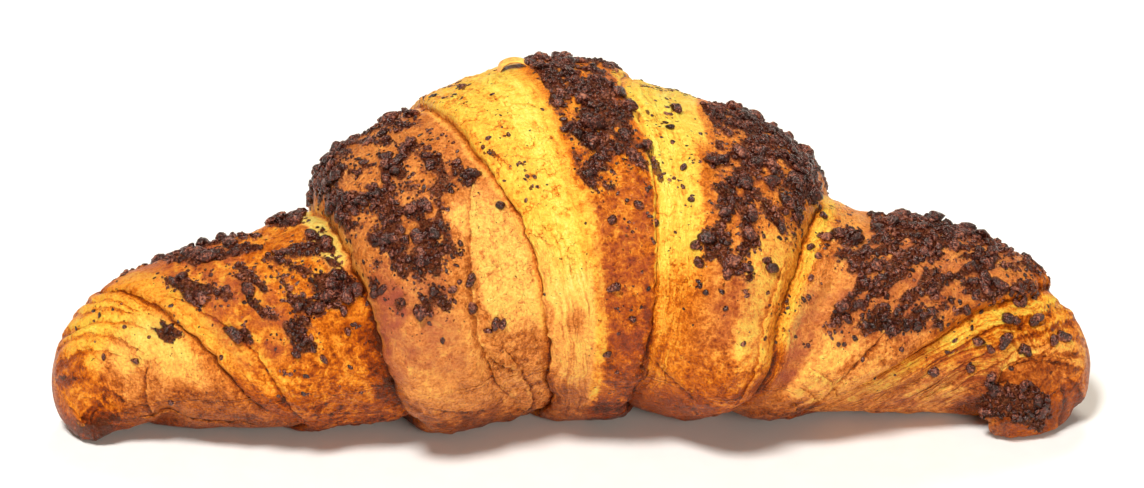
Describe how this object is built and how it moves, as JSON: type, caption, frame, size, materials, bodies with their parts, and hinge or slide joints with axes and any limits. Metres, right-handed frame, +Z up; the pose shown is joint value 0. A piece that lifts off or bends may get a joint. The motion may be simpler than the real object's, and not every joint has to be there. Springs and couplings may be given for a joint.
{
  "type": "chocolate hazelnut croissant",
  "caption": "Large baked croissant, a rolled crescent of flaky dough that steps down from a fat middle to two curled tips, with chocolate baked onto its upper side.",
  "frame": {"origin": "under the middle of the croissant's box, on the surface it stands on", "axes": "+Z up, +X along the croissant from its left tip to its right tip, -Y towards the open side of the crescent"},
  "size_m": [0.1802, 0.0744, 0.059],
  "materials": {
    "crust": "baked crust, golden to brown, thinly glazed, flaky",
    "chocolate": "dark chocolate, baked on in lumps, satin to glossy"
  },
  "bodies": {
    "root": {"croissant": "crust"}
  },
  "joints": []
}
